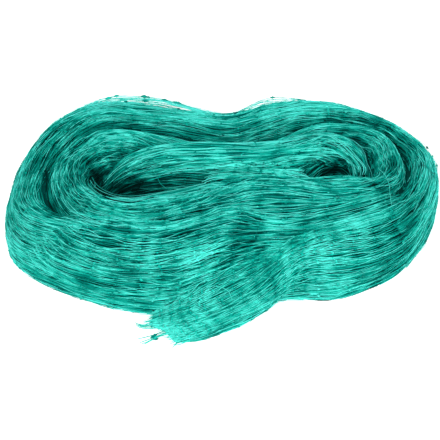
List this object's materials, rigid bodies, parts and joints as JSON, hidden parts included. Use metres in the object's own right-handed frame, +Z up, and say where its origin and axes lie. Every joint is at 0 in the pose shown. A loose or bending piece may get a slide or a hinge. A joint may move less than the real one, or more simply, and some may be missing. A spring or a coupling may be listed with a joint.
{
  "type": "folded bird netting hank",
  "caption": "Fine knotted garden bird netting, gathered lengthwise into a thick bundle and wound into a flat oval hank that lies on its side, with its cut end let out in front.",
  "frame": {"origin": "middle of the underside of the box round the whole part", "axes": "+X along the hank, +Z up, -Y the side with the loose end"},
  "size_m": [0.2968, 0.198, 0.0536],
  "materials": {
    "wound_netting": "fine translucent knotted monofilament net, teal green, gathered and slightly glossy",
    "loose_netting": "fine translucent knotted monofilament net, teal green, loosely gathered and slightly glossy"
  },
  "bodies": {
    "root": {"hank": "wound_netting", "loose_end": "loose_netting"}
  },
  "joints": []
}
